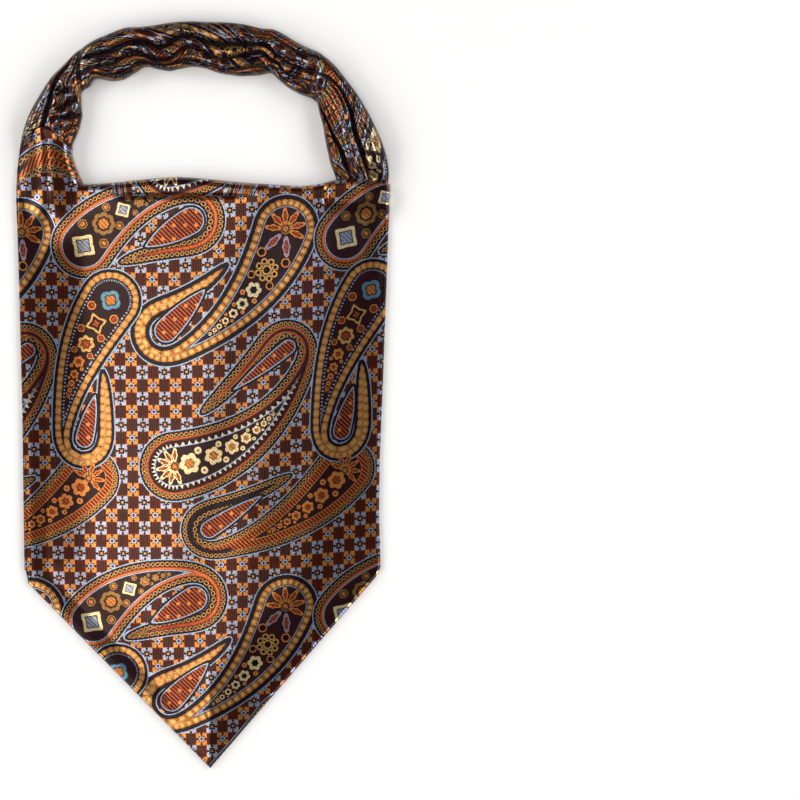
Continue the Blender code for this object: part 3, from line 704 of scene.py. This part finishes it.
def front_cloth(material):
    """The front blade and the shoulder that its cloth makes round the band's left end, in one piece."""
    width = CORNER_RIGHT_X - CORNER_LEFT_X
    across = spread(np.array([0, 0.12, 0.3, 0.6, 1.0, 1.5, 2.1, 2.8]) / width, 226)
    tip = (POINT_X - CORNER_LEFT_X) / width
    across[np.argmin(np.abs(across - tip))] = tip
    left_x, right_x = side_x(LEFT_SIDE, SHOULDER_SEAM_Y), side_x(RIGHT_SIDE, SHOULDER_SEAM_Y)
    seam = np.argmin(np.abs(left_x + across * (right_x - left_x) - SHOULDER_INNER_X))
    across[seam] = (SHOULDER_INNER_X - left_x) / (right_x - left_x)

    fold = top_y(np.maximum(between(left_x, right_x, across), SHOULDER_INNER_X + 0.01))
    fold[: seam + 1] = SHOULDER_SEAM_Y
    ends = point_y(CORNER_LEFT_X + across * width)
    rolled = np.array([0, 0.008, 0.03, 0.07, 0.12, 0.2, 0.3, 0.42, 0.56, 0.7, 0.85])
    near_tuck = TUCK_Y + np.array([1.5, 1.1, 0.8, 0.5, 0.3, 0.1, 0, -0.1, -0.3, -0.6, -1.0, -1.5, -2.1])
    rises = np.array([4.2, 3.2, 2.3, 1.6, 1.0, 0.6, 0.3, 0.1, 0])
    rows = [between(fold, near_tuck[0], share) for share in rolled]
    rows += [np.full_like(across, y) for y in near_tuck]
    rows += [between(rows[-1], ends + rises[0], share) for share in np.linspace(0, 1, 330)[1:-1]]
    rows += [ends + rise for rise in rises]
    y = np.array(rows)
    x = between(side_x(LEFT_SIDE, y), side_x(RIGHT_SIDE, y), across)
    edges = front_edges()
    z, longer = front_surface(x, y, edges)
    upper = np.stack([x, y, z], -1)
    shifted = TUCK_SHIFT * hill(x, *TUCK_X) * ramp(y, TUCK_Y - 0.02, TUCK_Y + 0.1)
    flat = np.stack(lying(x, y + longer + shifted), -1)
    shoulder, shoulder_flat, share, angle = shoulder_grid(x[0, : seam + 1], edges)
    shoulder[0] = upper[0, : seam + 1]

    at_x = np.union1d(coarse(seam + 1, 6), seam + coarse(len(across) - seam, 5))
    at_y = np.union1d(coarse(len(y), 7), len(rolled) + np.arange(8, 12))
    low = upper[np.ix_(at_y, at_x)].copy()
    under = np.where(low[..., 1] > 82.6, 0, front_support(low[..., 0], low[..., 1]))
    low[..., 2] = np.minimum(under, low[..., 2] - 0.05)
    shoulder_x, shoulder_y = at_x[at_x <= seam], coarse(len(shoulder), 6)
    under_shoulder = shoulder[np.ix_(shoulder_y, shoulder_x)].copy()
    under_shoulder[..., 2] = 0
    under_shoulder[0] = low[0, : len(shoulder_x)]
    holds = band_envelope(share[shoulder_x], angle[-1, shoulder_x]) + 0.2
    under_shoulder[-1, :, 2] = np.minimum(holds, shoulder[-1, shoulder_x, 2] - 0.4)

    right = at_x[at_x >= seam] - seam
    patches = shell(upper, flat, low, at_x, at_y, "left right end")
    patches += shell(shoulder, shoulder_flat, under_shoulder, shoulder_x, shoulder_y, "left right end")
    patches += walls(upper[:, seam:], flat[:, seam:], low[:, len(shoulder_x) - 1 :], right, at_y, "start")
    return cloth_piece("front_cloth", patches, material)


def back_cloth(material):
    """The back blade, inside the front one's outline."""
    width = CORNER_RIGHT_X - CORNER_LEFT_X - 2 * BACK_INSET
    across = spread(np.array([0, 0.2, 0.5, 1.0, 1.8]) / width, 90)
    down = np.concatenate([[0, 0.002, 0.005], np.linspace(0.012, 0.985, 130), [0.993, 0.998, 1]])[:, None]
    x = CORNER_LEFT_X + BACK_INSET + across * width
    bottom = point_y(x) + BACK_INSET / np.sqrt(0.5) + 0.6
    y = between(BACK_TOP_Y, bottom, down)
    x = np.broadcast_to(x, y.shape)
    sides = np.minimum(across, 1 - across) * width
    ends = np.minimum(BACK_TOP_Y - y, (y - bottom) * np.sqrt(0.5))
    opened = nose(np.minimum(sides, ends), 1.0)
    seam = 0.5 * np.exp(-(((x - 4 - y * 0.01) / 0.5) ** 2))
    upper = np.stack([x, y, back_top(x, y) * (0.5 + 0.5 * opened)], -1)
    lower = np.stack([x, y, seam + 0.6 * (1 - opened)], -1)
    flat = np.stack([-x + 11, y + 61], -1)
    patches = shell(upper, flat, lower, np.arange(x.shape[1]), np.arange(x.shape[0]))
    return cloth_piece("back_cloth", patches, material)


# ---- The neckband ----


def band_envelope(across, angle):
    """The band's upper face before its valleys: two rounded edges with a soft crown between them."""
    opened = nose(np.minimum(across, 1 - across) * band_width(angle), BAND_EDGE_RADIUS)
    return read(NECKBAND, "high", angle) * (0.4 + 0.6 * opened)


def valleys_at(angle):
    """Where the four valleys lie across the band, and their depths, kept a little apart from each other."""
    places, low = [], 0
    for name in "abcd":
        low = np.clip(read(VALLEYS, name, angle), low + LEAST_PLEAT, 1 - LEAST_PLEAT)
        places.append(low)
    return places, [read(VALLEYS, "deep_" + name, angle) for name in "abcd"]


def band_height(across, angle):
    """The band's upper face, with its valleys, its two kinks and its creases, and the painted shade in them.
    """
    width = band_width(angle)
    raised = band_envelope(across, angle)
    sunk = 0 * raised
    places, depths = valleys_at(angle)
    edges, depths = [0 * angle, *places, 0 * angle + 1], [0 * angle, *depths, 0 * angle]
    for low, high, low_deep, high_deep in zip(edges, edges[1:], depths, depths[1:]):
        share = np.clip((across - low) / (high - low), 0, 1)
        rounded = (1 - (2 * share**PLEAT_LEAN - 1) ** 2) ** PLEAT_ROUND
        deep = between(low_deep, high_deep, share)
        sunk = np.where((across >= low) & (across <= high), deep * (1 - rounded), sunk)
    for kink, deep in ((RIGHT_KINK, 1.6), (LEFT_KINK, 2.6)):
        away = np.radians(angle - read(kink, "angle", across)) * LOOP_MIDDLE
        sunk = np.maximum(sunk, deep * np.exp(-np.abs(away) / np.where(away > 0, 0.9, 2.2)))
    for place, start, to_place, end, bow, deep, half in zip(*CREASES.values()):
        share = (angle - start) / (end - start)
        middle = between(place, to_place, share) + bow * share * (1 - share)
        slope = (to_place - place) * width / (np.radians(end - start) * LOOP_MIDDLE)
        away = (across - middle) * width / np.sqrt(1 + slope**2)
        sunk = np.maximum(sunk, deep * hill(share, -0.05, 0.3, 0.7, 1.05) * np.exp(-np.abs(away) / half))
    sunk = sunk * np.clip(read(NECKBAND, "high", angle) / FULL_BAND, 0, 1)
    height = np.maximum(raised - sunk, np.minimum(LEAST_CLOTH, raised))
    return height, DARKEST_PAINTED_SHADE * ramp(sunk, 0.5, 3.0)


def neckband(material):
    """The pleated band, from its end under the front blade round to inside the shoulder's mouth."""
    across = spread(np.array([0, 0.006, 0.015, 0.03, 0.05]), 84)
    mouth = read(SHOULDER_MOUTH, "angle", across)
    angle = between(BAND_END_ANGLE, mouth + 2.6, np.linspace(0, 1, 470)[:, None])
    inside = np.radians(angle - mouth) * LOOP_MIDDLE
    tucked = ramp(inside, 0, 0.5)
    x, y = loop_xy(across + tucked * 0.07 * (0.5 - across) * 2, angle)
    z, deep = band_height(across, angle)
    z = z * (1 - 0.12 * tucked)
    width = band_width(angle)
    # Painted shade: darker on the pleats' steep sides, a little all over the band and in the shoulder's
    # mouth, over the painted shade in the folds.
    steep = np.abs(np.gradient(z, axis=1) / (np.gradient(across) * width))
    shaded = SIDE_SHADE * ramp(steep, 0.2, 1.6) + LEAST_SHADE
    deep = np.maximum(np.maximum(deep, shaded), MOUTH_SHADE * ramp(inside, -2.2, 0.2))
    upper = np.stack([x, y, z], -1)

    jumps = 0 * x
    for valley, hidden in zip(*valleys_at(angle)):
        jumps = jumps + HIDDEN_CLOTH * hidden * ramp((across - valley) * width, -0.15, 0.15)
    slid = GATHERED * np.cumsum(np.hypot(np.gradient(across) * width, np.gradient(z, axis=1)), axis=1)
    length = np.radians(mouth - angle) * LOOP_MIDDLE
    flat_x = SHOULDER_INNER_X - 1 - slid - jumps
    flat_y = SHOULDER_SEAM_Y + 20 + length + slid * (ASKEW + ASKEW_LEFT * hill(angle, *LEFT_BEND))
    # The third number carries the painted shade to the material.
    flat = np.stack([flat_x, flat_y, deep], -1)

    sides = []
    for column, to_middle in ((0, 1), (-1, -1)):
        wrapped = []
        for inset, share in ((0.9, 0.0), (0.45, 0.35), (0.12, 0.7)):
            at = across[column] + to_middle * inset / width[:, column]
            wrapped.append(np.stack([*loop_xy(at, angle[:, column]), z[:, column] * share], -1))
        sides.append(np.stack(wrapped, 1))
    upper = np.concatenate([sides[0], upper, sides[1][:, ::-1]], 1)
    further = np.array([3.4, 2.2, 1.1])[:, None] * (1, 0, 0)
    flat = np.concatenate([flat[:, :1] + further, flat, flat[:, -1:] - further[::-1]], 1)
    at_x, at_y = coarse(upper.shape[1], 9), coarse(len(upper), 6)
    low = upper[np.ix_(at_y, at_x)].copy()
    low[..., 2] = 0
    return cloth_piece("neckband", shell(upper, flat, low, at_x, at_y), material)


# ---- The jacquard's material ----


class Shade:
    """A number in a material's node tree. Arithmetic with it adds Math nodes."""

    def __init__(self, tree, socket):
        self.tree, self.socket = tree, socket

    def math(self, kind, *others, clamp=False):
        node = self.tree.nodes.new("ShaderNodeMath")
        node.operation, node.use_clamp = kind, clamp
        for slot, value in zip(node.inputs, (self, *others)):
            if isinstance(value, Shade):
                self.tree.links.new(value.socket, slot)
            else:
                slot.default_value = value
        return Shade(self.tree, node.outputs[0])

    __add__, __sub__, __mul__, __truediv__ = (
        lambda self, other, kind=kind: self.math(kind, other)
        for kind in ("ADD", "SUBTRACT", "MULTIPLY", "DIVIDE")
    )

    def size(self):
        return self.math("ABSOLUTE")

    def above(self, edge, soft=0.12):
        """1 above an edge and 0 below it, with a soft step between."""
        if isinstance(edge, Shade):
            return (self - edge).above(0, soft)
        return self.math("MULTIPLY_ADD", 1 / soft, 0.5 - edge / soft, clamp=True)

    def below(self, edge, soft=0.12):
        return self.above(edge, -soft)

    def near(self, middle, half, soft=0.12):
        """1 within half of a middle, and 0 further off."""
        return (self - middle).size().below(half, soft)

    def wave(self, pitch, turn=0.0):
        """A wave from 0 to 1 along this number."""
        sine = self.math("MULTIPLY_ADD", 2 * np.pi / pitch, turn).math("SINE")
        return sine.math("MULTIPLY_ADD", 0.5, 0.5)

    def step_of(self, pitch):
        """How far this number is from the middle of its step of one pitch."""
        return ((self * (1 / pitch)).math("FRACT") - 0.5) * pitch


def attribute(tree, name):
    node = tree.nodes.new("ShaderNodeAttribute")
    node.attribute_name = name
    return node.outputs


def kept(tree, name):
    """The three numbers of a mesh's attribute."""
    split = tree.nodes.new("ShaderNodeSeparateXYZ")
    tree.links.new(attribute(tree, name)["Vector"], split.inputs[0])
    return [Shade(tree, socket) for socket in split.outputs]


def from_middle(x, y):
    """The distance of a place from the middle that it is given from."""
    return (x * x + y * y).math("SQRT")


class Paint:
    """Colours laid over each other."""

    def __init__(self, tree, colour):
        self.tree, self.top = tree, colour

    def lay(self, colour, share):
        node = self.tree.nodes.new("ShaderNodeMix")
        node.data_type = "RGBA"
        for slot, value in ((node.inputs[6], self.top), (node.inputs[7], colour)):
            if isinstance(value, tuple):
                slot.default_value = (*value, 1)
            else:
                self.tree.links.new(value, slot)
        self.tree.links.new(share.socket, node.inputs[0])
        self.top = node.outputs[2]
        return self


def cell(x, y):
    """Which column and row of the ground's squares a place lies in, and how far from the square's middle."""
    column = (x - (FIRST_X - SQUARES_LEFT * SQUARE_X)) / SQUARE_X
    row = (y - (FIRST_Y - SQUARES_BELOW * SQUARE_Y)) / SQUARE_Y
    return column, row, (column.math("FRACT") - 0.5) * SQUARE_X, (row.math("FRACT") - 0.5) * SQUARE_Y


def squares(tree, x, y):
    """The ground: small squares with a flower in every second one, gold in one row and pale in the next."""
    column, row, a, b = cell(x, y)
    pale = (row.math("FLOOR") * 0.5).math("FRACT").above(0.25, 0.01)
    plain = ((column.math("FLOOR") + row.math("FLOOR")) * 0.5).math("FRACT").above(0.25, 0.01)
    far = from_middle(a, b)
    points = (b.math("ARCTAN2", a) * 8).math("COSINE")
    aside, up = a.size() * (2 / SQUARE_X), b.size() * (2 / SQUARE_Y)
    outer, inner = aside.math("MAXIMUM", up), aside.math("MINIMUM", up)
    flowers = Paint(tree, yarn(212, 130, 60)).lay(PALE, pale)
    flowers.lay(DARK, far.below(points * 0.32 + 1.48))
    flowers.lay(DARK, outer.above(0.66, 0.08) * inner.below(0.20, 0.08))
    flowers.lay(PALE, far.near(0.86, 0.28) * pale.below(0.5, 0.01))
    flowers.lay(Paint(tree, yarn(26, 48, 104)).lay(ORANGE, pale).top, far.below(0.54))
    ground = Paint(tree, GROUND).lay(RIB, x.wave(0.94))
    ground.lay(BROWN, outer.above(0.9, 0.06))
    return flowers.lay(ground.top, plain)


def beads(paint, inside, along, start, deep, pitch, colour, bright):
    """A row of beads along a paisley's edge, each with a painted highlight in its middle."""
    p = along.step_of(pitch).size()
    q = (inside - (start + deep / 2)).size()
    shape = (p * p).math("MULTIPLY_ADD", -0.4 / pitch, deep / 2)
    mask = q.below(shape) * p.below(pitch / 2 - 0.1)
    paint.lay(colour, mask).lay(bright, mask * q.below(deep * 0.28, 0.5) * p.below(pitch * 0.25, 0.6))


def chain(paint, inside, along, middle, radius, pitch):
    """A row of small rings along a paisley's edge."""
    paint.lay(RINGS, from_middle(along.step_of(pitch), inside - middle).near(radius, 0.17, 0.16))


def start_paisley(tree, paint, name):
    inside, along, _ = kept(tree, "in_" + name)
    paint.lay(NAVY, inside.above(0)).lay(LINE, inside.near(0, LINE_HALF))
    return inside, along


def paint_paisleys(tree, paint, hatch):
    """The five kinds of paisley, by distances in from the edge: near draws a line, above fills the inside."""
    inside, along = start_paisley(tree, paint, "gold")
    beads(paint, inside, along, 1.9, 2.8, 3.4, yarn(176, 102, 40), yarn(236, 178, 98))
    paint.lay(INNER, inside.above(4.85)).lay(LINE, inside.near(5.0, 0.17))

    inside, along = start_paisley(tree, paint, "ring")
    chain(paint, inside, along, 1.95, 0.74, 2.1)
    paint.lay(yarn(150, 50, 26), inside.above(3.1)).lay(yarn(205, 106, 48), inside.near(3.95, 0.3))
    paint.lay(INNER, inside.above(4.5)).lay(LINE, inside.near(4.7, 0.2))

    inside, along = start_paisley(tree, paint, "tooth")
    chain(paint, inside, along, 1.95, 0.74, 2.1)
    paint.lay(yarn(206, 104, 46), inside.near(3.3, 0.2)).lay(yarn(160, 62, 28), inside.near(3.85, 0.16))
    teeth = inside.above(along.step_of(2.7).size() * 1.75 + 5.0) * inside.below(6.6)
    paint.lay(INNER, inside.above(4.3)).lay(yarn(236, 214, 190), teeth)
    paint.lay(INNER, inside.above(6.6)).lay(LINE, inside.near(6.75, 0.2))

    inside, along = start_paisley(tree, paint, "stripe")
    chain(paint, inside, along, 1.75, 0.70, 1.95)
    stripe = Paint(tree, yarn(78, 22, 14)).lay(yarn(212, 96, 40), hatch)
    body = along.below(PAISLEYS["stripe"]["body"] + 1.4 * PAISLEYS["stripe"]["half"], 4)
    paint.lay(stripe.top, inside.above(2.95) * body).lay(EDGING, inside.near(2.9, 0.13) * body)
    paint.lay(INNER, inside.above(5.9)).lay(EDGING, inside.near(5.9, 0.13))

    inside, along = start_paisley(tree, paint, "bead")
    beads(paint, inside, along, 1.4, 2.5, 3.4, yarn(190, 120, 55), yarn(225, 160, 85))
    paint.lay(INNER, inside.above(4.1))
    paint.lay(LINE, inside.near(4.75, 0.34) * along.step_of(1.55).size().below(0.3))


def paint_ornaments(tree, paint, hatch):
    u, v, petals = kept(tree, "ornament")
    scallop, rim, gap = kept(tree, "ornament_form")
    turned = (v.math("ARCTAN2", u) * petals * 0.5).math("COSINE").size()
    turned = turned.math("POWER", scallop.above(0.4, 0.01) * 9 + 1)
    far = from_middle(u, v) / (turned * scallop - (scallop.math("MAXIMUM", 0) - 1))
    first, second = (attribute(tree, name)["Color"] for name in ("ornament_first", "ornament_second"))
    paint.lay(DARK, far.below(1.10, 0.06)).lay(first, far.below(1.0, 0.08))
    paint.lay(DARK, far.below(rim, 0.08)).lay(second, far.below(gap, 0.08))
    paint.lay(DARK, far.below(gap, 0.08) * hatch.below(0.5, 0.5) * 0.55)


def paint_drops(tree, paint, x, y, hatch):
    """The drops in the paisleys' hooks: a twill with the ground's squares as dots in it."""
    inside, _, _ = kept(tree, "in_drop")
    paint.lay(NAVY, inside.above(-1.15))
    twill = Paint(tree, yarn(54, 14, 18)).lay(yarn(182, 72, 34), hatch)
    _, _, a, b = cell(x, y)
    twill.lay(yarn(228, 122, 56), from_middle(a, b).below(0.78, 0.2))
    paint.lay(twill.top, inside.above(0.3)).lay(LINE, inside.near(0, LINE_HALF))


def new_material(name, roughness):
    """A material and its shader."""
    material = bpy.data.materials.new(name)
    material.use_nodes = True
    shader = material.node_tree.nodes["Principled BSDF"]
    shader.inputs["Roughness"].default_value = roughness
    return material, shader


def jacquard_silk():
    """The pattern, woven from threads whose faces are more metallic than the gaps between; a painted
    highlight lightens the faces and painted shade darkens the gaps.
    """
    material, shader = new_material("jacquard_silk", 0.20)
    tree = material.node_tree
    x, y, painted_fold_shade = kept(tree, "flat_cloth")
    paint = squares(tree, x, y)
    hatch = (x + y).wave(1.9).above(0.62, 0.5)
    paint_paisleys(tree, paint, hatch)
    paint_ornaments(tree, paint, hatch)
    paint_drops(tree, paint, x, y, hatch)

    threads = (x + y * 0.45).wave(0.55) * y.wave(0.5, 1.0).math("MULTIPLY_ADD", 0.5, 0.5)
    bright = tree.nodes.new("ShaderNodeRGBToBW")
    tree.links.new(paint.top, bright.inputs[0])
    lustre = Shade(tree, bright.outputs[0]).above(0.02, 0.03)
    face = threads.math("MULTIPLY_ADD", 0.4, 0.6) * lustre.math("MULTIPLY_ADD", 0.5, 0.5)
    # Painted shade in the band's folds, on its steep sides and in the shoulder's mouth.
    paint.lay(PAINTED_FOLD_SHADE, painted_fold_shade)
    # A lit and a shaded copy of the colour: painted highlight on the threads' faces, painted shade in the
    # gaps between them.
    deep, lit = (tree.nodes.new("ShaderNodeGamma") for _ in range(2))
    for node, power in ((deep, 1.5), (lit, 0.72)):
        tree.links.new(paint.top, node.inputs["Color"])
        node.inputs["Gamma"].default_value = power
    yarns = Paint(tree, deep.outputs[0]).lay(lit.outputs[0], face)
    tree.links.new(yarns.top, shader.inputs["Base Color"])
    tree.links.new(face.socket, shader.inputs["Metallic"])
    shader.inputs["Specular IOR Level"].default_value = 0.36

    bump = tree.nodes.new("ShaderNodeBump")
    bump.inputs["Strength"].default_value = 0.35
    bump.inputs["Distance"].default_value = 0.03 * MM
    tree.links.new(threads.socket, bump.inputs["Height"])
    tree.links.new(bump.outputs[0], shader.inputs["Normal"])
    return material


# ---- The stage, in metres and watts ----


def pale_floor():
    material, shader = new_material("pale_floor", 0.9)
    shader.inputs["Base Color"].default_value = (0.96, 0.96, 0.96, 1)
    data = bpy.data.meshes.new("floor")
    corners = [(x, y, -0.0002) for x, y in ((-3, -3), (3, -3), (3, 3), (-3, 3))]
    data.from_pydata(corners, [], [(0, 1, 2, 3)])
    data.materials.append(material)
    floor = placed("floor", data)


def softbox(name, place, aim, width, length, power, colour):
    data = bpy.data.lights.new(name, "AREA")
    data.shape, data.size, data.size_y, data.energy = "RECTANGLE", width, length, power
    data.color = colour
    made = placed(name, data)
    made.location = place
    made.rotation_euler = (Vector(aim) - Vector(place)).to_track_quat("-Z", "Y").to_euler()


def stage():
    pale_floor()
    world = bpy.data.worlds.new("studio")
    world.use_nodes = True
    background = world.node_tree.nodes["Background"]
    background.inputs["Color"].default_value = (1, 1, 1, 1)
    background.inputs["Strength"].default_value = 0.10
    bpy.context.scene.world = world
    softbox("key", (-0.180, -0.03, 1.30), (-0.180, -0.03, 0), 0.13, 1.1, 2.5, (1, 0.86, 0.72))
    softbox("left", (-0.40, -0.30, 1.30), (-0.40, -0.30, 0), 0.16, 0.5, 1.1, (1, 0.82, 0.72))
    softbox("cool", (0.17, 0.17, 1.30), (0.17, 0.17, 0), 0.20, 0.16, 0.2, (0.72, 0.8, 1))
    for x, y in ((-1.6, 0.9), (1.6, 0.9), (-1.6, -0.9), (1.6, -0.9)):
        softbox("side", (x, y, 0.95), (0, 0, 0), 1.5, 1.1, 21, (0.97, 0.99, 1))
    lens = bpy.data.cameras.new("camera")
    lens.lens, lens.sensor_width = 135, 36
    camera = placed("camera", lens)
    camera.location = (0.0827, -0.0021, 1.26)
    bpy.context.scene.camera = camera
    bpy.context.scene.view_settings.view_transform = "Standard"


# ---- The cravat ----

outlines = {name: repeated(paisley(*spine(form)[:3])) for name, form in PAISLEYS.items()}
outlines["drop"] = [copy for form in PAISLEYS.values() for copy in repeated(paisley(*drop(form)))]
for name, filling in FILLINGS.items():
    fill_paisley(PAISLEYS[name], **filling)
stage()
silk = jacquard_silk()
front, back, band = front_cloth(silk), back_cloth(silk), neckband(silk)
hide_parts("front_blade", "left_shoulder")
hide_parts("back_blade")
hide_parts("neckband_right", "neckband_top", "neckband_left")
for piece in (front, back, band):
    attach(piece, "root")
